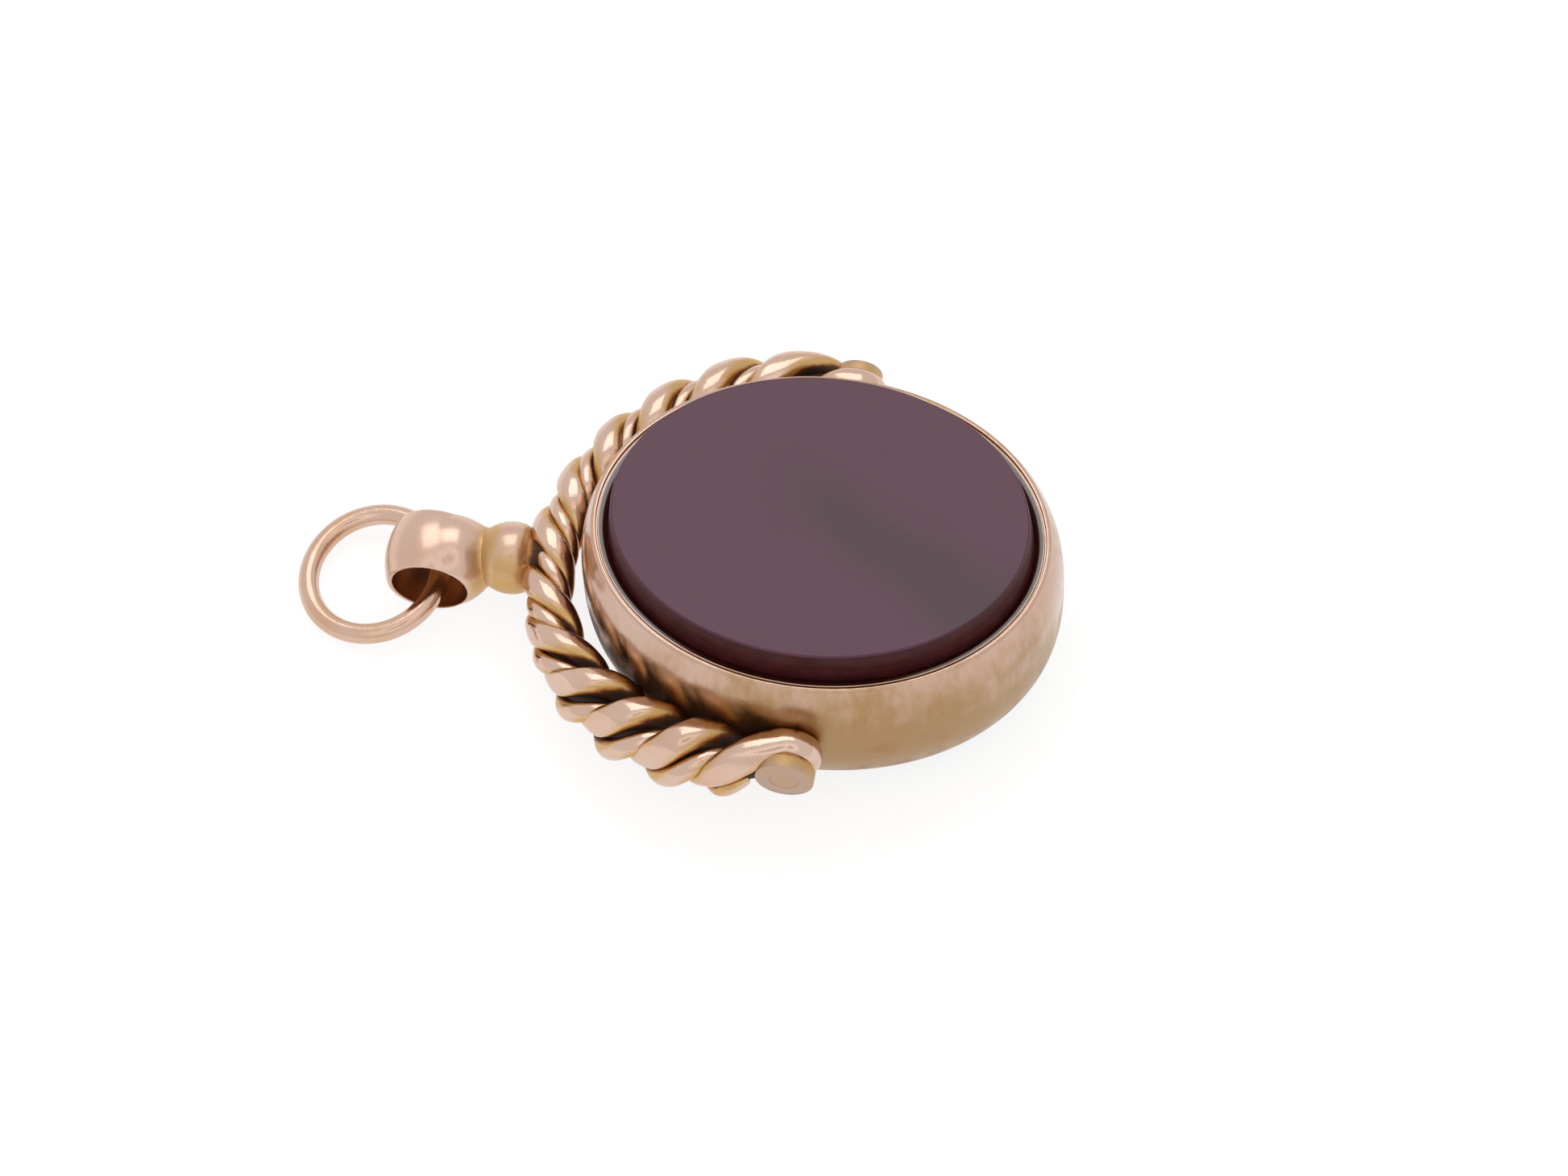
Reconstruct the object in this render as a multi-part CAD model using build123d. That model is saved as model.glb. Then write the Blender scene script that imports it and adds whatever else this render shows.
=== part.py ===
"""Gold spinner fob, in millimetres.

An oval drum holds a polished stone in each face and turns on two rivets
between the ends of a twisted rope yoke.  The yoke carries a turned collar
and a barrel bail, and a jump ring hangs through the bail.

The fob lies on a surface as it would on a table: the drum on its lower
stone, the yoke fallen back until the bail touches, the ring flat.  X runs
along the fob with the ring at the -X end, Y runs along the rivets, and Z
is up from the surface.
"""

from build123d import *
import os
from math import asin, cos, degrees, hypot, pi, radians, sin

# Stones: polished faces, a short bevelled side and a straight girdle.
stone_length = 20.0
stone_width = 15.3
stone_stand = 1.55        # face above the drum's lip
stone_sink = 1.5          # girdle below the drum's lip
stone_bevel = 0.35        # how far the side spreads on its way down
stone_edge = 0.12         # rounding of the face's edge
setting_gap = 0.05        # between the girdle and the metal

# Drum: a hollow bulging band with a stone seat soldered into each mouth.
drum_height = 7.8
wall_bulge = 0.6
wall_thickness = 0.65
bezel_width = 0.36        # sloping rim round the stone
bezel_dip = 0.30
groove_width = 0.14
groove_depth = 0.28
lip_width = 0.25
ledge_width = 0.7
ledge_thickness = 0.5

# Rivets that the drum turns on.
rivet_radius = 0.70
rivet_head_radius = 1.05
rivet_head_thickness = 0.35
rivet_head_gap = 0.10
running_gap = 0.04        # rivet in the drum's bore
rivet_seat_gap = 0.01     # rivet in the yoke's boss

# Yoke: rope arch, an eye and a filed cap at each end.
rope_radius = 1.20        # at the top of the arch
rope_end_set = 1.40       # rope's middle outside the side clearance, at the pivots
rope_turns = 3.37         # turns of the lay from the top to each pivot
rope_easing_share = 0.07  # how much the lay slackens towards the pivots
rope_phase = 165.0        # where the thick strand stands at the top, from outward
rope_spacing = 0.45       # between sections along the rope
rope_tip_radius = 0.70
rope_tip_length = 3.4     # stretch that narrows into the eye
arch_gap = 0.60           # top of the arch to the drum
arch_exponent = 2.28      # 2 is an ellipse
side_gap = 0.15           # rope and eye to the drum's side
eye_radius = 1.75
eye_thickness = 1.40
eye_round = 0.40
cap_radius = 1.43
cap_thickness = 0.65

# Collar and bail.
bail_reach = 19.7         # pivot to the bail's middle
bail_radius = 2.40
bail_mouth_radius = 2.12
bail_half_width = 1.60
bail_bore_radius = 1.80
bail_bore_offset = 0.08   # bore away from the collar
neck_swell_radius = 1.74
neck_radius = 1.42
neck_reach = 2.55         # bail's middle to the neck
collar_bead_radius = 1.78
collar_bead_length = 2.20
collar_end_radius = 1.58
stem_radius = 1.35

# Jump ring.
ring_mean_radius = 3.36
ring_wire_radius = 0.51
ring_overreach = 0.20     # wire past the bail's middle, towards the collar
ring_drop = 0.76          # wire below the bail's middle
ring_yaw = 15.0           # ring turned towards the near side

# One rope section, half a turn of it, as (angle, share of the rope's radius):
# a thick strand at 0, a thin wire laid in the groove at 90.
rope_half_section = [
    (0, 0.98), (18, 0.95), (35, 0.82), (54, 0.64), (71, 0.82),
    (90, 0.92), (109, 0.82), (126, 0.64), (145, 0.82), (162, 0.95),
]

# The rope's swell along each half of the arch, from its top to the pivot, as
# (share of the half's length, share of the rope's radius at the top).
rope_swell = [(0.0, 1.00), (0.18, 1.05), (0.55, 1.42), (0.75, 1.48), (0.88, 1.33), (1.0, 1.20)]

# Heights of the bulging wall's sections, as shares of half the drum's height.
wall_levels = [-1.0, -0.8, -0.45, 0.0, 0.45, 0.8, 1.0]

half_height = drum_height / 2
pivot_height = half_height + stone_stand
girdle_length = stone_length / 2 + stone_bevel
girdle_width = stone_width / 2 + stone_bevel
well_out = setting_gap
bezel_out = well_out + bezel_width
groove_out = bezel_out + groove_width
lip_out = groove_out + lip_width
drum_half_length = girdle_length + lip_out + wall_bulge
drum_half_width = girdle_width + lip_out + wall_bulge
side_plane = drum_half_width + side_gap
eye_plane = side_plane + eye_thickness
cap_plane = eye_plane + cap_thickness
arch_reach = drum_half_length + arch_gap + rope_radius
arch_half_width = side_plane + rope_end_set
droop = degrees(asin((pivot_height - bail_radius) / bail_reach))
pivot = Vector(0, 0, pivot_height)


def oval(out, z):
    """Oval section that stands out from the stone's girdle, at a height."""
    return Pos(0, 0, z) * Ellipse(girdle_length + out, girdle_width + out)


def oval_prism(out, bottom, top):
    return extrude(oval(out, bottom), top - bottom, dir=(0, 0, 1))


def oval_frustum(out_bottom, bottom, out_top, top):
    return loft([oval(out_bottom, bottom), oval(out_top, top)])


def bulging_wall(inset, reach):
    """The drum's outer form, inset by a thickness, up to a share of its height."""
    sections = []
    for level in wall_levels:
        share = level * reach
        swell = wall_bulge * (1 - abs(share) ** 3)
        sections.append(oval(lip_out + swell - inset, half_height * share))
    return loft(sections)


def stone_seat():
    """What is cut from the drum's upper mouth for one stone, bezel and groove."""
    seat_floor = half_height - stone_sink - setting_gap
    well = oval_prism(well_out, seat_floor, half_height + 1)
    dip = half_height - bezel_dip
    slope = oval_frustum(well_out, dip, bezel_out, half_height)
    groove = oval_prism(groove_out, half_height - groove_depth, half_height + 1)
    groove -= oval_prism(bezel_out, half_height - groove_depth - 1, half_height + 2)
    mouth = oval_prism(-ledge_width, seat_floor - ledge_thickness - 1, half_height)
    return [well, slope, groove, mouth]


def drum_shell():
    band = bulging_wall(0, 1.0)
    cavity_top = half_height - stone_sink - setting_gap - ledge_thickness
    band -= bulging_wall(wall_thickness, cavity_top / half_height)
    for cut in stone_seat():
        band -= cut
        band -= mirror(cut, Plane.XY)
    band -= Cylinder(rivet_radius + running_gap, 4 * drum_half_width, rotation=(90, 0, 0))
    return band


def stone():
    """The upper stone, about the drum's middle."""
    face = half_height + stone_stand
    shoulder = half_height - bezel_dip
    base = half_height - stone_sink
    body = oval_prism(0, base, shoulder)
    side = oval_frustum(0, shoulder, stone_edge - stone_bevel, face - stone_edge)
    crown = oval_frustum(stone_edge - stone_bevel, face - stone_edge, -stone_bevel, face)
    return body + side + crown


def rivet():
    """Rivet at the +Y end: head inside the drum, shank out through the cap."""
    head_face = drum_half_width - wall_thickness - rivet_head_gap
    shank = Cylinder(rivet_radius, cap_plane - head_face, align=(Align.CENTER, Align.CENTER, Align.MIN))
    head = Cylinder(
        rivet_head_radius, rivet_head_thickness, align=(Align.CENTER, Align.CENTER, Align.MAX)
    )
    return Pos(0, head_face, 0) * Rot(-90, 0, 0) * (shank + head)


def arch_points(count):
    """Rope's centre line from the -Y end to the +Y end, as (x, y, distance)."""
    points = []
    distance = 0.0
    for i in range(count + 1):
        angle = pi * i / count
        x = -arch_reach * sin(angle) ** (2 / arch_exponent)
        side = -1 if angle < pi / 2 else 1
        y = side * arch_half_width * abs(cos(angle)) ** (2 / arch_exponent)
        if points:
            distance += hypot(x - points[-1][0], y - points[-1][1])
        points.append((x, y, distance))
    return points


def swell_at(share):
    """The rope's swell at a share of the way from the arch's top to a pivot."""
    for (s0, swell0), (s1, swell1) in zip(rope_swell, rope_swell[1:]):
        if share <= s1:
            return swell0 + (swell1 - swell0) * (share - s0) / (s1 - s0)
    return rope_swell[-1][1]


def lay_at(share):
    """Turns of the lay from the arch's top, at a signed share of the way to a pivot."""
    return rope_turns * share * (1 - rope_easing_share * share ** 2)


def rope_rings():
    """Twisted sections of the rope, each a closed list of corner points."""
    line = arch_points(600)
    length = line[-1][2]
    count = round(length / rope_spacing)
    rings = []
    at = 0
    for i in range(count + 1):
        distance = length * i / count
        while at < len(line) - 2 and line[at + 1][2] < distance:
            at += 1
        x0, y0, d0 = line[at]
        x1, y1, d1 = line[at + 1]
        part = (distance - d0) / (d1 - d0)
        x, y = x0 + part * (x1 - x0), y0 + part * (y1 - y0)
        out_x, out_y = (y0 - y1) / (d1 - d0), (x1 - x0) / (d1 - d0)
        from_top = length / 2 - distance
        radius = rope_radius * swell_at(abs(from_top) / (length / 2))
        to_tip = min(distance, length - distance)
        if to_tip < rope_tip_length:
            slim = (1 - to_tip / rope_tip_length) ** 2
            y -= (1 if y > 0 else -1) * slim * (arch_half_width - (side_plane + eye_thickness / 2))
            radius -= slim * (radius - rope_tip_radius)
        turn = rope_phase + 360 * lay_at(2 * from_top / length)
        ring = []
        for half in (0, 180):
            for angle, share in rope_half_section:
                a = radians(turn + angle + half)
                out, up = radius * share * cos(a), radius * share * sin(a)
                ring.append(Vector(x + out * out_x, y + out * out_y, up))
        rings.append(ring)
    return rings


def rope():
    rings = rope_rings()
    corners = len(rings[0])
    faces = []
    for lower, upper in zip(rings, rings[1:]):
        for j in range(corners):
            k = (j + 1) % corners
            faces.append(Face(Wire.make_polygon([lower[j], lower[k], upper[k]])))
            faces.append(Face(Wire.make_polygon([lower[j], upper[k], upper[j]])))
    for ring in (rings[0], rings[-1]):
        middle = sum(ring, Vector()) / corners
        for j in range(corners):
            faces.append(Face(Wire.make_polygon([middle, ring[j], ring[(j + 1) % corners]])))
    return Solid(Shell(faces))


def boss():
    """Eye and filed cap at the +Y end, bored for the rivet."""
    eye = Cylinder(eye_radius, eye_thickness, align=(Align.CENTER, Align.CENTER, Align.MIN))
    eye = fillet(eye.edges(), eye_round)
    cap = Cylinder(
        cap_radius, cap_thickness + eye_round, align=(Align.CENTER, Align.CENTER, Align.MIN)
    )
    cap = Pos(0, 0, eye_thickness - eye_round) * cap
    return Pos(0, side_plane, 0) * Rot(-90, 0, 0) * (eye + cap)


def bail_and_collar():
    """Barrel bail, neck, turned collar and the stem into the rope."""
    with BuildPart() as barrel:
        with BuildSketch(Plane.XY):
            with BuildLine():
                ThreePointArc(
                    (bail_mouth_radius, -bail_half_width),
                    (bail_radius, 0),
                    (bail_mouth_radius, bail_half_width),
                )
                Line((bail_mouth_radius, bail_half_width), (0, bail_half_width))
                Line((0, bail_half_width), (0, -bail_half_width))
                Line((0, -bail_half_width), (bail_mouth_radius, -bail_half_width))
            make_face()
        revolve(axis=Axis.Y)
    bead_end = neck_reach + collar_bead_length
    stem_end = bail_reach - arch_reach
    with BuildPart() as neck:
        with BuildSketch(Plane.XY):
            with BuildLine():
                start = bail_bore_radius
                Line((start, 0), (start, bail_half_width))
                ThreePointArc(
                    (start, bail_half_width),
                    ((start + neck_reach) / 2, neck_swell_radius),
                    (neck_reach, neck_radius),
                )
                ThreePointArc(
                    (neck_reach, neck_radius),
                    (neck_reach + 0.62 * collar_bead_length, collar_bead_radius),
                    (bead_end, collar_end_radius),
                )
                Line((bead_end, collar_end_radius), (bead_end, stem_radius))
                Line((bead_end, stem_radius), (stem_end, stem_radius))
                Line((stem_end, stem_radius), (stem_end, 0))
                Line((stem_end, 0), (start, 0))
            make_face()
        revolve(axis=Axis.X)
    bore = Cylinder(bail_bore_radius, 4 * bail_half_width, rotation=(90, 0, 0))
    body = barrel.part + neck.part - Pos(-bail_bore_offset, 0, 0) * bore
    return Pos(-bail_reach, 0, 0) * body


def yoke():
    """All the soldered metal of the yoke, lying level with the pivot at the origin."""
    body = rope()
    body += bail_and_collar()
    for end in (boss(), mirror(boss(), Plane.XZ)):
        body += end
    body -= Cylinder(rivet_radius + rivet_seat_gap, 4 * cap_plane, rotation=(90, 0, 0))
    return body


def jump_ring():
    """Ring lying on the surface at one side and in the bail's bore at the other."""
    bail_x = -bail_reach * cos(radians(droop))
    wire_z = bail_radius - ring_drop
    tilt = degrees(asin((wire_z - ring_wire_radius) / (2 * ring_mean_radius)))
    ring = Pos(-ring_mean_radius, 0, 0) * Torus(ring_mean_radius, ring_wire_radius)
    ring = Pos(ring_overreach, 0, wire_z) * Rot(0, -tilt, 0) * ring
    return Pos(bail_x, 0, 0) * Rot(0, 0, ring_yaw) * ring


def on_pivot(shape):
    """Lower a shape of the yoke until the bail touches the surface."""
    return Pos(*pivot) * Rot(0, -droop, 0) * shape


nodes = {
    "drum_shell": Pos(*pivot) * drum_shell(),
    "carnelian_plate": Pos(*pivot) * stone(),
    "reverse_plate": Pos(*pivot) * mirror(stone(), Plane.XY),
    "rope_yoke": on_pivot(yoke()),
    "far_rivet": on_pivot(rivet()),
    "near_rivet": on_pivot(mirror(rivet(), Plane.XZ)),
    "jump_ring": jump_ring(),
}

# The origin goes under the middle of the whole fob.
whole = Compound(children=[Part() + shape for shape in nodes.values()]).bounding_box()
centre = Pos(-(whole.min.X + whole.max.X) / 2, -(whole.min.Y + whole.max.Y) / 2, 0)

os.makedirs("parts", exist_ok=True)
for name, shape in nodes.items():
    export_step(centre * shape, f"parts/{name}.step")
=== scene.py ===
from math import asin, cos, hypot, pi, radians, sin

import bpy
from mathutils import Matrix, Vector


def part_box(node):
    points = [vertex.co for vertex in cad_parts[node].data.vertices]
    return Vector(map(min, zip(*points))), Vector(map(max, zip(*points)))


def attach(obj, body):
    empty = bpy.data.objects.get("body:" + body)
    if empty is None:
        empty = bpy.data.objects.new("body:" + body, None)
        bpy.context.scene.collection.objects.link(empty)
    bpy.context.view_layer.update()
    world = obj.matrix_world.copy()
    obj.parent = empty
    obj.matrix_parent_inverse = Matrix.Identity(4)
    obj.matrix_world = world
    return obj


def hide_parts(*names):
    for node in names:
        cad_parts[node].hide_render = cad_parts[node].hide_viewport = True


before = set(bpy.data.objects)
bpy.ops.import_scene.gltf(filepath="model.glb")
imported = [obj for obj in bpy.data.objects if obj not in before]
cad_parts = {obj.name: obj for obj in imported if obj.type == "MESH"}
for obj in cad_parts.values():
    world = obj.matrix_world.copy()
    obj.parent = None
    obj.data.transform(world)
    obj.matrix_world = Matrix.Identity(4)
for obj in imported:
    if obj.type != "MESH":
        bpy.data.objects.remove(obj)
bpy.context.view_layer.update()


# The drum: an oval hollow band of rose gold, raised from sheet, with a thin lip
# turned in over each mouth, a fine groove inside it and a sloping rim round the
# stone.  The wall is tarnished in olive clouds and streaks, and is painted darker
# low down as a reflection of the shaded floor.  Where the rope lies close it is
# dark with oxide and painted shade.
mm = 0.001
girdle_length = 10.35
girdle_width = 8.0
wall_half_height = 3.8
wall_out = 0.80
wall_bulge = 0.6
wall_levels = 24
drum_sides = 224
bore_radius = 0.74
rim_out = 0.43
rope_slope = 0.157
rope_height = 0.3

drum_low, drum_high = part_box("drum_shell")
pivot = (drum_low + drum_high) / 2


def clear():
    """Leave edit mode with nothing selected."""
    if bpy.context.object and bpy.context.object.mode != "OBJECT":
        bpy.ops.object.mode_set(mode="OBJECT")
    bpy.ops.object.select_all(action="DESELECT")


def take(piece):
    """Select one piece alone and make it active."""
    clear()
    piece.select_set(True)
    bpy.context.view_layer.objects.active = piece


def edit(piece):
    """Open a piece for editing, all of it selected."""
    take(piece)
    bpy.ops.object.mode_set(mode="EDIT")
    bpy.ops.mesh.select_mode(type="VERT")
    bpy.ops.mesh.select_all(action="SELECT")


def raise_rings(profile, length=0.0, width=0.0, sides=96, filled=False):
    """Raise an oval section by section; the profile gives (out, height) in mm."""
    clear()
    out, height = profile[0]
    bpy.ops.mesh.primitive_circle_add(
        vertices=sides, radius=mm, fill_type="NGON" if filled else "NOTHING"
    )
    piece = bpy.context.object
    edit(piece)
    bpy.ops.transform.resize(
        value=(length + out, width + out, 1), center_override=(0, 0, 0)
    )
    bpy.ops.transform.translate(value=(0, 0, height * mm))
    for (out0, height0), (out1, height1) in zip(profile, profile[1:]):
        rise = (height1 - height0) * mm
        bpy.ops.mesh.extrude_region_move(TRANSFORM_OT_translate={"value": (0, 0, rise)})
        wider = ((length + out1) / (length + out0), (width + out1) / (width + out0), 1)
        bpy.ops.transform.resize(value=wider, center_override=(0, 0, height1 * mm))
    bpy.ops.mesh.select_all(action="SELECT")
    bpy.ops.mesh.remove_doubles(threshold=0.0004 * mm)
    bpy.ops.mesh.normals_make_consistent(inside=False)
    clear()
    return piece


def set_down(piece, place):
    """Put a piece at its place, and the place into its mesh."""
    take(piece)
    piece.matrix_world = place @ piece.matrix_world
    bpy.ops.object.transform_apply(location=True, rotation=True, scale=True)


def cut_away(piece, tool):
    """Cut a tool's solid from a piece."""
    take(piece)
    cut = piece.modifiers.new("cut", "BOOLEAN")
    cut.operation = "DIFFERENCE"
    cut.solver = "EXACT"
    cut.object = tool
    bpy.ops.object.modifier_apply(modifier=cut.name)
    bpy.data.objects.remove(tool)


def smooth(piece, angle):
    """Round shading, apart from edges sharper than an angle in degrees."""
    take(piece)
    bpy.ops.object.shade_smooth_by_angle(angle=radians(angle))


class Tone:
    """One value in a finish; a sum with it adds its Math node."""

    def __init__(self, finish, socket):
        self.finish = finish
        self.socket = socket

    def maths(self, operation, *values):
        """A Math node on these values."""
        return self.finish.node(
            "ShaderNodeMath", {"operation": operation}, dict(enumerate(values))
        )

    def __add__(self, other):
        return self.maths("ADD", self, other)

    def __sub__(self, other):
        return self.maths("SUBTRACT", self, other)

    def __rsub__(self, other):
        return self.maths("SUBTRACT", other, self)

    def __mul__(self, other):
        return self.maths("MULTIPLY", self, other)

    def __truediv__(self, other):
        return self.maths("DIVIDE", self, other)

    def __pow__(self, other):
        return self.maths("POWER", self, other)

    def __abs__(self):
        return self.maths("ABSOLUTE", self)

    def most(self, other):
        """The higher of the two."""
        return self.maths("MAXIMUM", self, other)

    def between(self, low, high):
        """0 up to low, 1 from high, a soft change between."""
        settings = {"interpolation_type": "SMOOTHSTEP"}
        return self.finish.node("ShaderNodeMapRange", settings, {0: self, 1: low, 2: high})

    __radd__ = __add__
    __rmul__ = __mul__


class Mixture:
    """A node tree as it is filled."""

    def __init__(self, owner):
        owner.use_nodes = True
        self.tree = owner.node_tree

    def node(self, kind, settings, values, output=0):
        """Any node, from its kind, its settings and what its sockets get."""
        node = self.tree.nodes.new(kind)
        for name, value in settings.items():
            setattr(node, name, value)
        for name, value in values.items():
            self.feed(node.inputs[name], value)
        return Tone(self, node.outputs[output])

    def feed(self, socket, value):
        """Link a tone to a socket, or set a plain value on it."""
        if isinstance(value, Tone):
            self.tree.links.new(value.socket, socket)
        else:
            socket.default_value = value


class Finish(Mixture):
    """A finish as it is built up; its places are in mm from a centre."""

    def __init__(self, name, centre):
        self.material = bpy.data.materials.new(name)
        super().__init__(self.material)
        self.shader = self.tree.nodes["Principled BSDF"]
        where = self.node("ShaderNodeTexCoord", {}, {}, "Object")
        where = self.vector("SUBTRACT", {0: where, 1: centre})
        self.place = self.vector("SCALE", {0: where, "Scale": 1 / mm})
        self.x, self.y, self.z = (
            self.node("ShaderNodeSeparateXYZ", {}, {0: self.place}, axis) for axis in "XYZ"
        )

    def vector(self, operation, values):
        """A Vector Math node on these values."""
        return self.node("ShaderNodeVectorMath", {"operation": operation}, values)

    def set(self, **values):
        """Values of the shader, with a space for each underscore in a name."""
        for name, value in values.items():
            self.feed(self.shader.inputs[name.replace("_", " ")], value)

    def grain(self, scale, detail=3.0, stretch=(1, 1, 1), roughness=0.5):
        """Noise about 0, with features of 1 / scale mm, drawn out by a stretch."""
        place = self.vector("MULTIPLY", {0: self.place, 1: stretch})
        values = {"Vector": place, "Scale": scale, "Detail": detail, "Roughness": roughness}
        return self.node("ShaderNodeTexNoise", {}, values) - 0.5

    def blend(self, share, first, second):
        """Colour from the first to the second as the share goes from 0 to 1."""
        values = {0: share, 6: first, 7: second}
        return self.node("ShaderNodeMix", {"data_type": "RGBA"}, values, 2)

    def bump(self, height, depth):
        """Relief of a depth in mm from a height about 0."""
        values = {"Height": height, "Distance": depth * mm, "Strength": 1.0}
        return self.node("ShaderNodeBump", {}, values)


rose = (0.66, 0.435, 0.335, 1)
rose_pale = (0.68, 0.49, 0.395, 1)
dull_rose = (0.44, 0.30, 0.23, 1)
olive = (0.38, 0.225, 0.095, 1)
yellow = (0.58, 0.355, 0.145, 1)
# Amber, umber and soot are the oxide colours; they also paint shade in grooves, beside the
# rope and under the hooks.
amber = (0.36, 0.16, 0.055, 1)
umber = (0.13, 0.05, 0.022, 1)
soot = (0.045, 0.020, 0.012, 1)
silver = (0.62, 0.60, 0.58, 1)


def worn_gold(
    name, centre, tarnish_and_shade, patina_and_shade=None, polish=0.12, relief=0.005,
    stain=yellow, dulled=0.0, solder=None,
):
    """Rose gold, dulled and tarnished, with solder and a dark oxide from amber to soot; its
    yellow and dark masks also carry painted shade and painted reflection.
    """
    finish = Finish(name, centre)
    tarnish_and_shade = tarnish_and_shade(finish)
    metal = 1.0
    clean = finish.blend(finish.grain(0.35).between(-0.2, 0.2), rose, rose_pale)
    clean = finish.blend(dulled, clean, dull_rose)
    if solder:
        solder = solder(finish)
        clean = finish.blend(solder, clean, silver)
        polish = polish + 0.2 * solder
        metal = metal - 0.6 * solder
    # Yellow and dark masks: tarnish and oxide, and on the drum, rope and bosses also painted
    # shade and painted reflection.
    colour = finish.blend(tarnish_and_shade, clean, stain)
    scuffs = finish.grain(9.0, 4.0, (1, 1, 0.25))
    rough = polish + 0.16 * tarnish_and_shade + 0.12 * scuffs
    if patina_and_shade:
        patina_and_shade = patina_and_shade(finish)
        colour = finish.blend(patina_and_shade.between(0.0, 0.35), colour, amber)
        colour = finish.blend(patina_and_shade.between(0.25, 0.6), colour, umber)
        colour = finish.blend(patina_and_shade.between(0.5, 1.0), colour, soot)
        rough = rough + 0.3 * patina_and_shade
        metal = metal - 0.55 * patina_and_shade.between(0.3, 1.0)
    finish.set(
        Base_Color=colour,
        Metallic=metal,
        Roughness=rough,
        Normal=finish.bump(scuffs + finish.grain(1.2) * 3, relief),
    )
    return finish.material


def drum_tarnish_and_reflection(finish):
    """Olive clouds and fine upright streaks of tarnished gold, and a painted reflection of
    the shaded floor that makes them deepest at the foot of the wall.
    """
    streaks = finish.grain(2.6, 4.0, (1, 1, 0.12)) * 0.6
    clouds = finish.grain(0.45, 3.0)
    # Painted reflection of the shaded floor: the wall is made more olive lower down.
    lower_down = 0.62 + abs(finish.y) * 0.06 - finish.z * 0.15
    clean_end = 0.4 * (1 - (finish.x + 7).between(0, 5))
    return (lower_down + streaks + clouds - clean_end).between(0.1, 1.05)


def bezel_solder(finish):
    """Silvery solder on the sloping rim, at the two ends of each stone."""
    along = finish.x / (girdle_length + rim_out)
    across = finish.y / (girdle_width + rim_out)
    outward = along * along + across * across
    on_rim = outward.between(0.955, 0.965) * (1 - outward.between(0.995, 1.0))
    return on_rim * abs(finish.z).between(3.5, 3.6) * abs(finish.x).between(4.0, 8.0)


def drum_patina_and_shade(finish):
    """Dark oxide and painted shade along the line where the rope lies against the wall, and
    a few stains.
    """
    ragged = finish.grain(0.75, 5.0, (1, 1, 0.4), 0.65) * 3.2
    # Dark oxide and painted shade, strongest beside the rope.
    from_rope = abs(finish.z - rope_slope * finish.x - rope_height)
    near_rope = 1 - (from_rope + ragged).between(0.4, 1.7)
    near_rope = near_rope * (1 - (finish.x + ragged).between(-1.0, 2.2)) * 0.72
    stains = 0.3 - finish.z * 0.15 + finish.grain(0.8, 5.0) * 3.2
    return near_rope.most(stains.between(0.3, 1.7) * 0.34)


wall = []
for step in range(wall_levels + 1):
    level = 2 * step / wall_levels - 1
    wall.append((wall_out + wall_bulge * (1 - abs(level) ** 3), wall_half_height * level))
rim = [
    (0.79, 3.825), (0.765, 3.85), (0.72, 3.872), (0.66, 3.889), (0.60, 3.898),
    (0.57, 3.90), (0.545, 3.885), (0.53, 3.85), (0.53, 3.77), (0.48, 3.77),
    (0.46, 3.83), (0.45, 3.856), (0.40, 3.866),
    (0.06, 3.68), (0.02, 3.62), (0.02, 2.35), (-0.70, 2.35), (-0.70, 1.85),
    (0.69, 1.85),
]
inner_wall = [(0.75, 0.0)]
under = [(out, -height) for out, height in reversed(rim)]
drum_band = raise_rings(
    wall + rim + inner_wall + under + wall[:1], girdle_length, girdle_width, drum_sides
)
drum_band.name = "drum_band"
clear()
bpy.ops.mesh.primitive_cylinder_add(
    vertices=48, radius=bore_radius * mm, depth=0.03, rotation=(pi / 2, 0, 0)
)
cut_away(drum_band, bpy.context.object)
set_down(drum_band, Matrix.Translation(pivot))
smooth(drum_band, 32)
drum_gold = worn_gold(
    "drum gold", pivot, drum_tarnish_and_reflection, drum_patina_and_shade, 0.16,
    stain=olive, dulled=0.4, solder=bezel_solder,
)
drum_band.data.materials.append(drum_gold)
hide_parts("drum_shell")
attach(drum_band, "drum")


# The stones: two oval plates of chalcedony, cut flat, bevelled a little at the
# side and polished on top.  The upper one is dark carnelian and the lower one
# green bloodstone.  Each drops into its mouth and is held by the rim.
stone_profile = [
    (0.0, 2.40), (0.0, 3.60), (-0.005, 3.64), (-0.115, 4.46), (-0.224, 5.29), (-0.23, 5.33),
    (-0.245, 5.385), (-0.275, 5.425), (-0.315, 5.445), (-0.36, 5.45), (-0.37, 5.45),
    (-0.60, 5.45),
]
level_face = 0.3


def carnelian():
    """Dark red, with a faint darker cloud from the middle towards one side."""
    finish = Finish("carnelian", pivot)
    aslant = finish.x * 0.45 + finish.y * 0.89 + finish.grain(0.12) * 5
    cloud = (1 - abs(aslant - 0.5).between(0.2, 2.9)) * (finish.x + 4).between(0, 6)
    specks = finish.grain(2.6, 2.0).between(0.18, 0.28)
    colour = finish.blend(cloud, (0.067, 0.006, 0.027, 1), (0.036, 0.003, 0.013, 1))
    colour = finish.blend(specks * 0.35, colour, (0.012, 0.006, 0.008, 1))
    finish.set(Base_Color=colour, Roughness=0.05 + 0.02 * finish.grain(1.5), IOR=1.50)
    return finish.material


def bloodstone():
    """Dark green, clouded, with a few small red spots."""
    finish = Finish("bloodstone", pivot)
    clouds = finish.grain(0.3, 5.0).between(-0.2, 0.2)
    spots = finish.grain(0.9).between(0.14, 0.20)
    colour = finish.blend(clouds, (0.012, 0.032, 0.018, 1), (0.03, 0.06, 0.035, 1))
    colour = finish.blend(spots, colour, (0.22, 0.02, 0.012, 1))
    finish.set(Base_Color=colour, Roughness=0.06 + 0.02 * finish.grain(1.5), IOR=1.54)
    return finish.material


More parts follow.
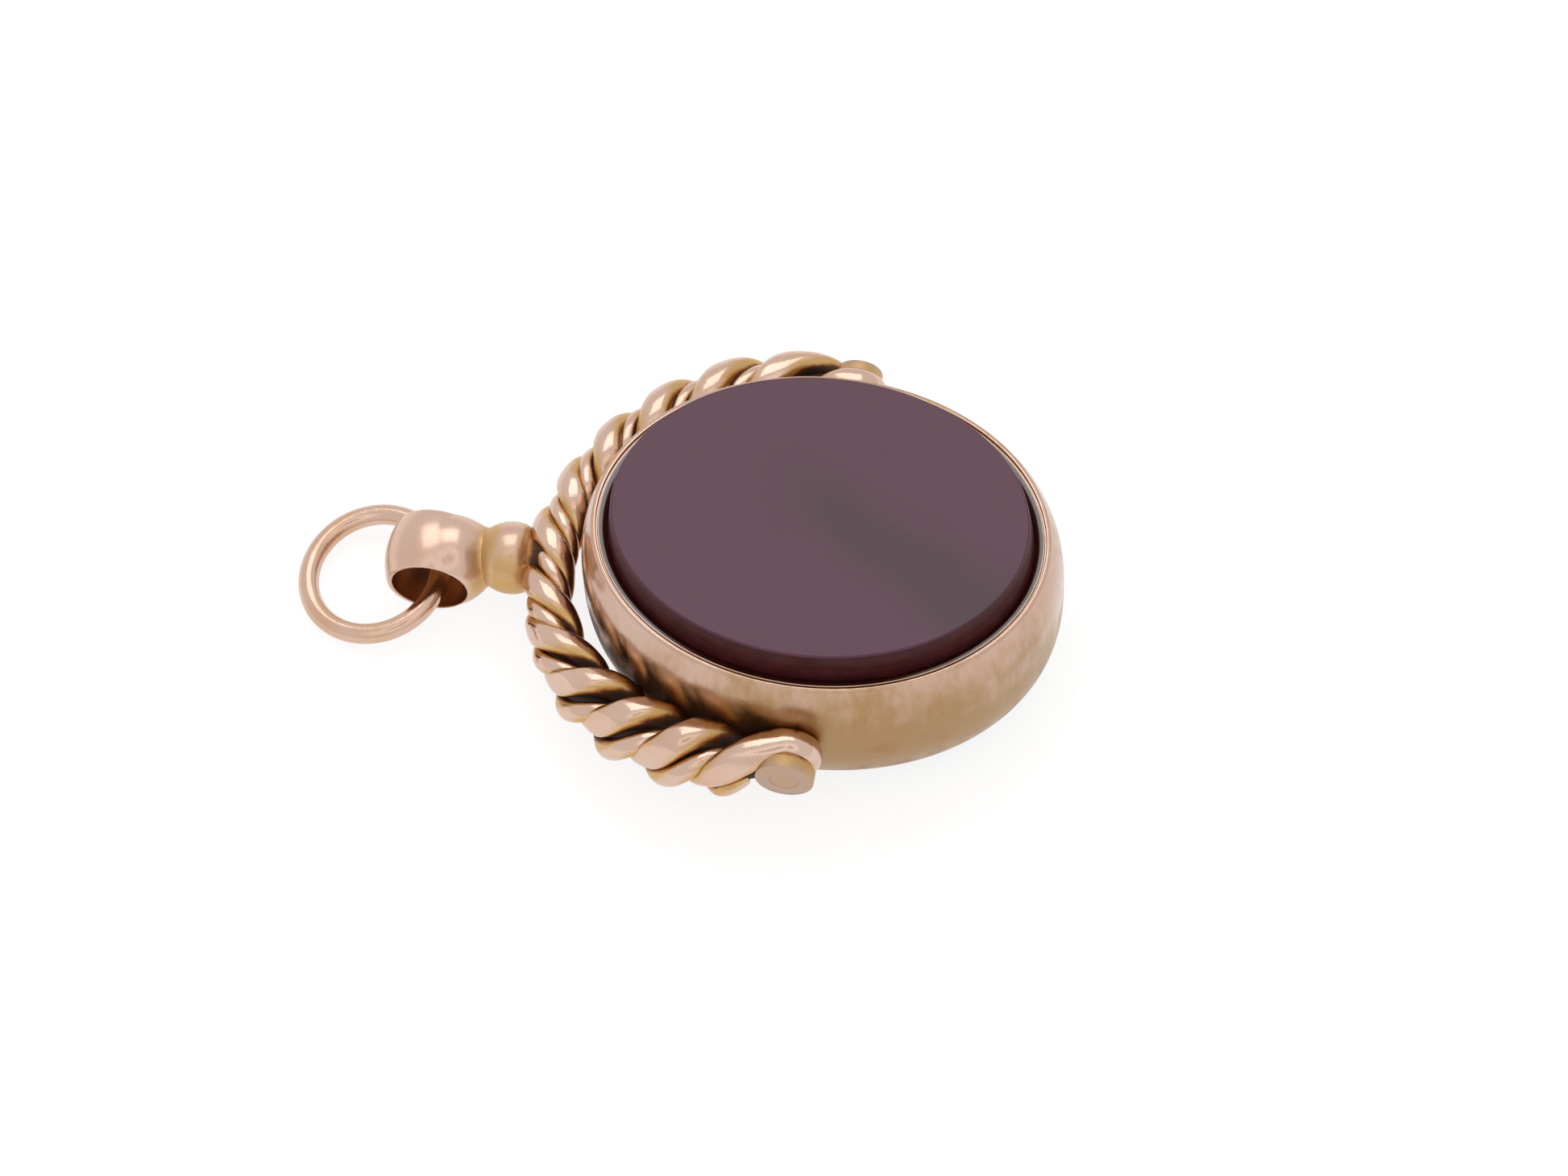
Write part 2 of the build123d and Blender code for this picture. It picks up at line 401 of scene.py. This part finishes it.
def ground_side(name, red, green, blue):
    """The side of a stone, ground but hardly polished."""
    finish = Finish(name, pivot)
    clouds = finish.grain(1.2).between(-0.2, 0.2)
    darker = (0.7 * red, 0.7 * green, 0.7 * blue, 1)
    finish.set(
        Base_Color=finish.blend(clouds, (red, green, blue, 1), darker),
        Roughness=0.25 + 0.1 * finish.grain(3.0),
        IOR=1.54,
        Specular_IOR_Level=0.08,
    )
    return finish.material


def stone(name, node, top, side, turn):
    """One stone with its polished top and ground side, turned to its own mouth."""
    piece = raise_rings(stone_profile, girdle_length, girdle_width, drum_sides, True)
    piece.name = name
    set_down(piece, Matrix.Translation(pivot) @ Matrix.Rotation(turn, 4, "X"))
    smooth(piece, 40)
    piece.data.materials.append(top)
    piece.data.materials.append(side)
    for face in piece.data.polygons:
        face.material_index = 1 if abs(face.normal.z) < level_face else 0
    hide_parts(node)
    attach(piece, "drum")


stone(
    "upper_stone", "carnelian_plate",
    carnelian(), ground_side("carnelian side", 0.055, 0.010, 0.012), 0,
)
stone(
    "lower_stone", "reverse_plate",
    bloodstone(), ground_side("bloodstone side", 0.012, 0.026, 0.016), pi,
)


# The rope: two thick wires twisted round a core, with a thinner one laid in each
# groove between them, bent round the drum and soldered.  It swells towards the
# rivets, where the last thick turn hooks over the boss, and its near half is worn.
rope_radius = 1.20
rope_turns = 3.37
rope_easing = 0.07
rope_phase = 131.0
rope_steps = 320
rope_swell = [
    (0.0, 1.15), (0.10, 1.13), (0.25, 1.16), (0.55, 1.40), (0.75, 1.45), (0.88, 1.27),
    (1.0, 1.08),
]
wire_sides = 32
arch_reach = 13.55
arch_half_width = 10.95
arch_exponent = 2.28
arch_points = 600
eye_middle = 10.36
tip_length = 3.4
bail_reach = 19.7
bail_radius = 2.40
droop = asin((pivot.z / mm - bail_radius) / bail_reach)
on_pivot = Matrix.Translation(pivot) @ Matrix.Rotation(-droop, 4, "Y")

# Shares are of the way from the arch's top, 0, to a rivet: 1 near, -1 far.  The
# lay lags behind an even twist by some degrees from one share to another, and
# from the last share on the near wire goes up to its hook.
near_lag = [(14, 0.0, 0.4)]
far_lag = [(11, 0.0, 0.2), (5, 0.2, 0.7), (-23, 0.8, 1.0)]
hook_share = 0.8
hook_from = 1044
hook_rise = 126
drift_share = 0.55
lean_middle = 0.48
lean_share = 0.40
top_lean = 0.22
top_share = 0.22
lift_share = 0.82
hook_lift = 0.17
crowd_near_share = 0.8
crowd_far_share = 0.2


def ramp(value, start, end):
    """0 up to the start, 1 from the end, and straight between them."""
    return max(0.0, min(1.0, (value - start) / (end - start)))


def eased(value, start, end):
    """0 up to the start, 1 from the end, and a soft change between."""
    part = ramp(value, start, end)
    return part * part * (3 - 2 * part)


def arch_line(count):
    """The rope's middle line in mm, from the near rivet round to the far one."""
    points = []
    distance = 0.0
    for i in range(count + 1):
        angle = pi * i / count
        x = -arch_reach * sin(angle) ** (2 / arch_exponent)
        side = -1 if angle < pi / 2 else 1
        y = side * arch_half_width * abs(cos(angle)) ** (2 / arch_exponent)
        if points:
            distance += hypot(x - points[-1][0], y - points[-1][1])
        points.append((x, y, distance))
    length = points[-1][2]
    line = []
    for x, y, distance in points:
        to_tip = min(distance, length - distance)
        slim = max(0.0, 1 - to_tip / tip_length) ** 2
        line.append((x, y - (1 if y > 0 else -1) * slim * (arch_half_width - eye_middle)))
    return line


def swell_at(share):
    """The rope's swell, which is the same towards both rivets."""
    for (s0, swell0), (s1, swell1) in zip(rope_swell, rope_swell[1:]):
        if abs(share) <= s1:
            part = (abs(share) - s0) / (s1 - s0)
            return swell0 + (swell1 - swell0) * part
    return rope_swell[-1][1]


def drift_at(share):
    """How much of its drift a set of wires has, from none at the top."""
    return eased(abs(share), 0.0, drift_share)


def lay_at(share):
    """Where the first thick wire stands, in degrees up from outward."""
    turn = rope_phase + 360 * rope_turns * share * (1 - rope_easing * share ** 2)
    for lag, start, end in near_lag if share > 0 else far_lag:
        turn -= lag * ramp(abs(share), start, end)
    if share > hook_share:
        turn = hook_from + hook_rise * (1 - (1 - ramp(share, hook_share, 1.0)) ** 2)
    return turn


def stand_off(share, drift_near, drift_far, lean_in):
    """How far out and up a set of wires stands from the rope's middle line."""
    half = abs(share)
    out, rise = drift_near if share > 0 else drift_far
    out = out * drift_at(share)
    rise = rise * drift_at(share)
    if lean_in:
        out += lean_in * eased(1 - abs(half - lean_middle) / lean_share, 0.0, 1.0)
        out += top_lean * eased(1 - half / top_share, 0.0, 1.0)
        rise += hook_lift * eased(half, lift_share, 1.0)
    return out, rise


line = arch_line(arch_points)
line_length = sum(hypot(b[0] - a[0], b[1] - a[1]) for a, b in zip(line, line[1:]))
arch = bpy.data.curves.new("arch", "CURVE")
arch.dimensions = "2D"
spline = arch.splines.new("POLY")
spline.points.add(len(line) - 1)
for point, (x, y) in zip(spline.points, line):
    point.co = (x * mm, y * mm, 0, 1)
arch = bpy.data.objects.new("arch", arch)
bpy.context.scene.collection.objects.link(arch)

wear_rise = radians(30)
wear_ease = 0.06
wear_crown = 0.97
wear_rounds = 4
painted_shade_share = 0.12
sink_length = 1.6
sink_depth = 0.5
tuck_depth = 0.45


def rubbed_at(y, z, lean, lift, crown):
    """How much is rubbed off a point by what wears on the rope from outside."""
    out, up = cos(wear_rise), sin(wear_rise)
    over = (y - lean) * out + (z - lift) * up - crown
    if over > wear_ease:
        return over
    return max(0.0, over + wear_ease) ** 2 / (4 * wear_ease)


def painted_shade_at(y_off, z_off, radius):
    """Painted shade: how much deeper a point of a thick wire counts on its low and inner
    sides, so that it is coloured darker there.
    """
    under = ramp(0.1 * radius - z_off, 0.0, 0.6 * radius)
    within = ramp(-0.2 * radius - y_off, 0.0, 0.6 * radius)
    return painted_shade_share * (under + within)


def lay_wires(
    name, stands, thick, wide, set_off, drift_near, drift_far,
    lean_in=0.0, worn_depth=0.0, crowd_near=0.0, crowd_far=0.0, stop=0.0, hidden=0.0,
):
    """Wires laid round the rope's middle line, each where its stand says.

    Thick and wide are a wire's half sizes and set_off its way from the middle.  A
    set drifts out and up, and leans in; crowd turns it on, stop cuts it short.
    """
    clear()
    bpy.ops.mesh.primitive_circle_add(
        vertices=wire_sides, radius=mm, fill_type="NGON", rotation=(0, pi / 2, 0)
    )
    wires = bpy.context.object
    wires.name = name
    take(wires)
    bpy.ops.object.transform_apply(location=True, rotation=True, scale=True)
    edit(wires)
    bpy.ops.transform.resize(value=(1, thick, wide), center_override=(0, 0, 0))
    bpy.ops.transform.translate(value=(0, set_off * mm, 0))
    bpy.ops.transform.rotate(
        value=-radians(stands[0]), orient_axis="X", center_override=(0, 0, 0)
    )
    for stand, next_stand in zip(stands, stands[1:]):
        bpy.ops.mesh.duplicate()
        bpy.ops.transform.rotate(
            value=-radians(next_stand - stand), orient_axis="X", center_override=(0, 0, 0)
        )
    bpy.ops.mesh.select_all(action="SELECT")
    before = (0.0, 0.0, 0.0)
    turn_before = 0.0
    swell_before = 1.0
    for i in range(rope_steps + 1):
        along = stop + (line_length - 2 * stop) * i / rope_steps
        share = 1 - 2 * along / line_length
        lean, lift = stand_off(share, drift_near, drift_far, lean_in)
        after = (along, lean, lift)
        move = tuple((b - a) * mm for a, b in zip(before, after))
        if i:
            bpy.ops.mesh.extrude_region_move(TRANSFORM_OT_translate={"value": move})
        else:
            bpy.ops.transform.translate(value=move)
        middle = tuple(mm * value for value in after)
        turn = lay_at(share)
        if share > 0:
            turn += crowd_near * ramp(share, 0.0, crowd_near_share)
        else:
            turn -= crowd_far * ramp(-share, 0.0, crowd_far_share)
        bpy.ops.transform.rotate(
            value=-radians(turn - turn_before), orient_axis="X", center_override=middle
        )
        swell = swell_at(share)
        bpy.ops.transform.resize(
            value=(1, swell / swell_before, swell / swell_before), center_override=middle
        )
        before, turn_before, swell_before = after, turn, swell
    bpy.ops.mesh.select_all(action="SELECT")
    bpy.ops.mesh.normals_make_consistent(inside=False)
    clear()
    worn = []
    crest = wires.data.attributes.new("crest", "FLOAT", "POINT")
    for vertex, value in zip(wires.data.vertices, crest.data):
        x, y, z = vertex.co / mm
        share = 1 - 2 * x / line_length
        to_tip = min(x, line_length - x)
        radius = rope_radius * swell_at(share)
        lean, lift = stand_off(share, drift_near, drift_far, lean_in)
        outward = hypot(y - lean, z - lift) / radius
        height = rope_radius / (set_off + thick) * outward - hidden
        if worn_depth:
            drift = drift_at(share)
            # Painted shade: the thick wires' low and inner sides are made to count as
            # deeper.
            shade = painted_shade_at(y - lean, z - lift, radius)
            height -= shade * drift * min(1.0, to_tip / tip_length) ** 2
            crown = radius * wear_crown - worn_depth * drift
            rubbed = rubbed_at(y, z, lean, lift, crown)
            if rubbed > 0 and share > 0:
                y -= rubbed * cos(wear_rise)
                z -= rubbed * sin(wear_rise)
                worn.append(vertex.index)
        value.value = height
        if stop:
            sink = 1 - sink_depth * max(0.0, 1 - (to_tip - stop) / sink_length) ** 2
            y = lean + (y - lean) * sink
            z = lift + (z - lift) * sink
        if z < 0:
            z *= 1 - tuck_depth * max(0.0, 1 - to_tip / tip_length) ** 1.5
        vertex.co = Vector((x, y, z)) * mm
    take(wires)
    if worn:
        wires.vertex_groups.new(name="worn").add(worn, 1.0, "REPLACE")
        rub = wires.modifiers.new("rub", "SMOOTH")
        rub.vertex_group = "worn"
        rub.iterations = wear_rounds
        bpy.ops.object.modifier_apply(modifier=rub.name)
    bend = wires.modifiers.new("bend", "CURVE")
    bend.object = arch
    bend.deform_axis = "POS_X"
    bpy.ops.object.modifier_apply(modifier=bend.name)
    return wires


hook_turn = radians(200)
hook_steps = 28


def hook(pair):
    """Carry the upper wire over the boss at each end and down its far side."""
    for side in (-1, 1):
        edit(pair)
        bpy.ops.mesh.select_mode(type="FACE")
        bpy.ops.mesh.select_all(action="DESELECT")
        bpy.ops.object.mode_set(mode="OBJECT")
        for face in pair.data.polygons:
            place = face.center / mm
            end = len(face.vertices) == wire_sides and abs(place.x) < 0.5
            face.select = end and place.y * side > 0 and place.z > 0.3
        bpy.ops.object.mode_set(mode="EDIT")
        bpy.ops.mesh.spin(
            steps=hook_steps, angle=-hook_turn,
            center=(0, side * eye_middle * mm, 0), axis=(0, 1, 0),
        )
    bpy.ops.mesh.select_all(action="SELECT")
    bpy.ops.mesh.normals_make_consistent(inside=False)
    clear()


def depth_and_shade_in_rope(finish):
    """How deep a point lies under the rope's crest, from 0, with the painted shade of the
    thick wires' low and inner sides counted in.
    """
    return 1 - finish.node("ShaderNodeAttribute", {"attribute_name": "crest"}, {}, "Fac")


def rope_tarnish_and_shade(finish):
    """Yellow in the grooves and on the thin wires' flanks, from tarnished gold and from
    painted shade.
    """
    return (depth_and_shade_in_rope(finish) + finish.grain(1.4, 4.0) * 0.22).between(0.0, 0.17)


def rope_patina_and_shade(finish):
    """Soot-dark oxide and painted shade deep between the wires."""
    return (depth_and_shade_in_rope(finish) + finish.grain(1.7, 4.0) * 0.2).between(0.23, 0.50)


thick_wires = lay_wires(
    "rope_thick_wires", (0, 180), 0.56, 0.76, 0.63, (-0.26, 0.16), (0.0, 0.10),
    lean_in=-0.22, worn_depth=0.15,
)
hook(thick_wires)
thin_wires = lay_wires(
    "rope_thin_wires", (90, 270), 0.40, 0.48, 0.58, (0.30, -0.34), (-0.16, -0.28),
    crowd_near=30, crowd_far=13, stop=1.9,
)
# The core counts as deep all over, so it takes the grooves' dark oxide and painted shade.
core_wire = lay_wires(
    "rope_core", (0,), 0.58, 0.58, 0.0, (0.0, -0.08), (0.0, -0.05), hidden=0.5
)
rope_gold = worn_gold("rope gold", pivot, rope_tarnish_and_shade, rope_patina_and_shade)
for wires in (thick_wires, thin_wires, core_wire):
    set_down(wires, on_pivot)
    smooth(wires, 50)
    wires.data.materials.append(rope_gold)
    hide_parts("rope_yoke")
    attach(wires, "yoke")
bpy.data.objects.remove(arch)


# The bosses: a turned plug of gold in each end of the rope, soldered under the
# last hook, with a cap filed flat outside and bored for the rivet.
side_plane = 9.55
eye_plane = 10.95
cap_plane = 11.60
near_cap = 1.43
far_cap = 1.15
plug_radius = 1.30
rivet_hole = 0.705


def plug_profile(cap):
    """Half the section of a plug whose cap has this radius."""
    plug = min(plug_radius, cap - 0.06)
    return [
        (rivet_hole, side_plane), (plug - 0.1, side_plane), (plug, side_plane + 0.1),
        (plug, eye_plane - 0.12), (cap - 0.06, eye_plane - 0.06), (cap, eye_plane),
        (cap, cap_plane - 0.07), (cap - 0.02, cap_plane - 0.025), (cap - 0.07, cap_plane),
        (rivet_hole, cap_plane), (rivet_hole, side_plane),
    ]


def boss_tarnish(finish):
    """Yellow in the corner behind the cap."""
    return (11.9 - abs(finish.y) + finish.grain(1.2) * 0.8).between(0.1, 1.0)


def boss_patina_and_shade(finish):
    """Soot-dark oxide and painted shade on the plug, in under the hook."""
    return (11.0 - abs(finish.y) + finish.grain(1.2) * 0.8).between(0.0, 0.8)


boss_gold = worn_gold(
    "boss gold", pivot, boss_tarnish, boss_patina_and_shade, 0.36, 0.002, dulled=0.85
)
for name, side, cap in (("near_boss", -1, near_cap), ("far_boss", 1, far_cap)):
    boss = raise_rings(plug_profile(cap), sides=64)
    boss.name = name
    set_down(boss, on_pivot @ Matrix.Rotation(-side * pi / 2, 4, "X"))
    smooth(boss, 35)
    boss.data.materials.append(boss_gold)
    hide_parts("rope_yoke")
    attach(boss, "yoke")


# The rivets: turned gold pins, headed inside the drum, that pass through the
# wall into the bosses and are filed flush with the caps.
rivet_radius = 0.70
head_radius = 1.05
head_face = 8.65
rivet_profile = [
    (head_radius - 0.08, head_face - 0.35), (head_radius, head_face - 0.27),
    (head_radius, head_face), (rivet_radius, head_face),
    (rivet_radius, cap_plane - 0.015), (rivet_radius - 0.015, cap_plane - 0.003),
]


def rivet_tarnish(finish):
    """Thin yellow clouds all over."""
    return finish.grain(0.8).between(-0.35, 0.65)


rivet_gold = worn_gold(
    "rivet gold", pivot, rivet_tarnish, polish=0.36, relief=0.002, dulled=0.9
)
for name, side in (("near_rivet", -1), ("far_rivet", 1)):
    rivet = raise_rings(rivet_profile, sides=48, filled=True)
    rivet.name = name + "_pin"
    set_down(rivet, on_pivot @ Matrix.Rotation(-side * pi / 2, 4, "X"))
    smooth(rivet, 35)
    rivet.data.materials.append(rivet_gold)
    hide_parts(name)
    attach(rivet, "yoke")


# The bail: a barrel of heavy gold, bored through for the ring, drawn out into a
# neck.  It stands a little towards the near side of the turned collar behind it,
# whose round bead is soldered to the rope.
barrel_width = 2.4
barrel_length = 3.1
barrel_shift = 0.26
mouth_plane = {-1: 1.86, 1: 1.28}
bore = 1.87
bore_shift = 0.10
neck_profile = [
    (2.32, 0), (2.30, -1.10), (2.24, -1.45), (2.14, -1.75), (1.98, -2.04), (1.76, -2.33),
    (1.56, -2.55), (1.45, -2.71), (1.42, -2.96),
]
neck_shift = 0.28
neck_lean = radians(6)
collar_profile = [
    (1.20, -2.50), (1.42, -2.72), (1.46, -2.86), (1.58, -3.08), (1.70, -3.36), (1.78, -3.68),
    (1.80, -4.00), (1.78, -4.30), (1.71, -4.56), (1.60, -4.76), (1.45, -4.90), (1.24, -4.99),
    (1.12, -5.08), (1.05, -5.3), (1.0, -6.1),
]


def fuse(piece, voxel, rounds):
    """Run a piece's skins together at a voxel's size in mm, and smooth them."""
    take(piece)
    remesh = piece.modifiers.new("fuse", "REMESH")
    remesh.mode = "VOXEL"
    remesh.voxel_size = voxel * mm
    bpy.ops.object.modifier_apply(modifier=remesh.name)
    relax = piece.modifiers.new("relax", "SMOOTH")
    relax.iterations = rounds
    bpy.ops.object.modifier_apply(modifier=relax.name)


def barrel_and_neck():
    """The barrel with its neck run into it, its mouths cut flat and its bore."""
    clear()
    bpy.ops.mesh.primitive_uv_sphere_add(segments=64, ring_count=32, radius=mm)
    barrel = bpy.context.object
    edit(barrel)
    bpy.ops.transform.resize(
        value=(barrel_width, barrel_length, barrel_width), center_override=(0, 0, 0)
    )
    bpy.ops.transform.translate(value=(0, -barrel_shift * mm, 0))
    neck = raise_rings(neck_profile, sides=64, filled=True)
    set_down(neck, (
        Matrix.Translation((0, -neck_shift * mm, 0))
        @ Matrix.Rotation(neck_lean, 4, "Z")
        @ Matrix.Rotation(-pi / 2, 4, "Y")
    ))
    take(barrel)
    neck.select_set(True)
    bpy.ops.object.join()
    fuse(barrel, 0.065, 14)
    for side in (-1, 1):
        edit(barrel)
        bpy.ops.mesh.bisect(
            plane_co=(0, side * mouth_plane[side] * mm, 0), plane_no=(0, side, 0),
            use_fill=True, clear_outer=True,
        )
    clear()
    bpy.ops.mesh.primitive_cylinder_add(
        vertices=96, radius=bore * mm, depth=0.01,
        rotation=(pi / 2, 0, 0), location=(bore_shift * mm, 0, 0),
    )
    cut_away(barrel, bpy.context.object)
    fuse(barrel, 0.055, 10)
    return barrel


bail = barrel_and_neck()
bail.name = "bail"
collar = raise_rings(collar_profile, sides=96, filled=True)
collar.name = "collar"
set_down(collar, Matrix.Rotation(-pi / 2, 4, "Y"))
bail_place = Vector((-bail_reach * mm, 0, 0))
bail_centre = on_pivot @ bail_place


def bail_tarnish(finish):
    """Yellow at the waist, low on the bead and at its end, clouded in between."""
    from_waist = abs(finish.x - 2.75).between(0.0, 1.1)
    end = (finish.x - 4.0).between(0.0, 1.0)
    low_bead = (finish.x - 2.9).between(0.0, 0.5) * (0 - finish.y - 0.1).between(0.0, 1.3)
    clouds = finish.grain(0.8, 4.0) * 0.7 + finish.grain(3.0, 3.0, (0.2, 1, 1)) * 0.5
    return ((1 - from_waist).most(end).most(low_bead) * 0.8 + clouds + 0.1).between(0.0, 1.0)


def bail_patina(finish):
    """Soot at the rope's end of the collar, and a little in the bore."""
    end = (finish.x - 4.75 + finish.grain(1.2) * 0.5).between(0.0, 0.5) * 0.9
    along = finish.x - bore_shift
    outward = (along * along + finish.z * finish.z) ** 0.5
    return end.most((1 - outward.between(bore + 0.01, bore + 0.06)) * 0.3)


bail_gold = worn_gold("bail gold", bail_centre, bail_tarnish, bail_patina, 0.24, 0.003)
for piece in (bail, collar):
    set_down(piece, on_pivot @ Matrix.Translation(bail_place))
    smooth(piece, 40)
    piece.data.materials.append(bail_gold)
    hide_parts("rope_yoke")
    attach(piece, "yoke")


# The jump ring: drawn wire bent round and soldered, that lies on the surface at
# one side and in the bail's bore at the other.
ring_mean_radius = 3.36
ring_wire = 0.51
ring_overreach = 0.20
ring_drop = 0.76
ring_yaw = radians(15)
wire_height = bail_radius - ring_drop
ring_tilt = asin((wire_height - ring_wire) / (2 * ring_mean_radius))


def ring_tarnish(finish):
    """Faint yellow clouds."""
    return (finish.grain(0.5) * 1.2 + 0.35).between(0.1, 1.2)


clear()
bpy.ops.mesh.primitive_circle_add(
    vertices=32, radius=ring_wire * mm,
    rotation=(pi / 2, 0, 0), location=(ring_mean_radius * mm, 0, 0),
)
jump_ring = bpy.context.object
jump_ring.name = "jump_ring_wire"
bpy.ops.object.transform_apply(location=True, rotation=True, scale=True)
edit(jump_ring)
bpy.ops.mesh.spin(steps=144, angle=2 * pi, center=(0, 0, 0), axis=(0, 0, 1))
bpy.ops.mesh.select_all(action="SELECT")
bpy.ops.mesh.remove_doubles(threshold=0.002 * mm)
bpy.ops.mesh.normals_make_consistent(inside=False)
set_down(jump_ring, (
    Matrix.Translation((bail_centre.x, pivot.y, 0))
    @ Matrix.Rotation(ring_yaw, 4, "Z")
    @ Matrix.Translation((ring_overreach * mm, 0, wire_height * mm))
    @ Matrix.Rotation(-ring_tilt, 4, "Y")
    @ Matrix.Translation((-ring_mean_radius * mm, 0, 0))
))
smooth(jump_ring, 40)
ring_gold = worn_gold("ring gold", bail_centre, ring_tarnish, polish=0.16)
jump_ring.data.materials.append(ring_gold)
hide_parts("jump_ring")
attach(jump_ring, "ring")


# The setting: a white floor that glows like a light table, one large soft light
# above and beyond the fob, and the camera at the photograph's angle.  The room is
# white, a little brighter all round the camera and darker where it stands.
clear()
bpy.ops.mesh.primitive_plane_add(size=4)
floor = bpy.context.object
floor.name = "floor"
paper = bpy.data.materials.new("paper")
paper_look = Mixture(paper).tree.nodes["Principled BSDF"].inputs
paper_look["Base Color"].default_value = (0.2, 0.2, 0.2, 1)
paper_look["Roughness"].default_value = 0.9
paper_look["Emission Color"].default_value = (1, 1, 1, 1)
paper_look["Emission Strength"].default_value = 0.83
floor.data.materials.append(paper)


def soft_light(name, towards, distance, width, height, brightness):
    """A soft box that faces the fob; brightness is what a mirror sees of it."""
    lamp = bpy.data.lights.new(name, "AREA")
    lamp.shape = "RECTANGLE"
    lamp.size = width
    lamp.size_y = height
    lamp.energy = brightness * pi * width * height
    box = bpy.data.objects.new(name, lamp)
    towards = Vector(towards).normalized()
    box.location = pivot + towards * distance
    box.rotation_euler = towards.to_track_quat("Z", "Y").to_euler()
    bpy.context.scene.collection.objects.link(box)


soft_light("high light", (-0.108, 0.488, 0.866), 0.45, 0.34, 0.30, 1.0)

view_rise = radians(60)
view_turn = radians(12.5)
view_roll = radians(-3.6)
view_distance = 300 * mm
aim = Vector((-1.231, -3.322, 3.9))
back = Vector((
    sin(view_turn) * cos(view_rise), -cos(view_turn) * cos(view_rise), sin(view_rise),
))
right = Vector((cos(view_turn), sin(view_turn), 0))
up = back.cross(right)
across = right * cos(view_roll) + up * sin(view_roll)
upward = up * cos(view_roll) - right * sin(view_roll)
viewpoint = pivot + aim * mm + back * view_distance

room = bpy.data.worlds.new("room")
bpy.context.scene.world = room
walls = Mixture(room)
direction = walls.node("ShaderNodeTexCoord", {}, {}, "Generated")
facing = walls.node(
    "ShaderNodeVectorMath", {"operation": "DOT_PRODUCT"}, {0: direction, 1: back}, 1
)
halo = facing.between(0.84, 0.94)
shadow = facing.between(0.972, 0.990)
air = walls.tree.nodes["Background"].inputs
walls.feed(air["Color"], (1, 1, 1, 1))
walls.feed(air["Strength"], 0.90 + 0.3 * halo - 0.45 * shadow)

lens = bpy.data.cameras.new("camera")
lens.sensor_width = 36
lens.lens = 144.1
lens.clip_start = 0.01
camera = bpy.data.objects.new("camera", lens)
camera.matrix_world = Matrix.Translation(viewpoint) @ Matrix((
    (across.x, upward.x, back.x, 0),
    (across.y, upward.y, back.y, 0),
    (across.z, upward.z, back.z, 0),
    (0, 0, 0, 1),
))
bpy.context.scene.collection.objects.link(camera)
bpy.context.scene.camera = camera
bpy.context.scene.view_settings.view_transform = "Standard"
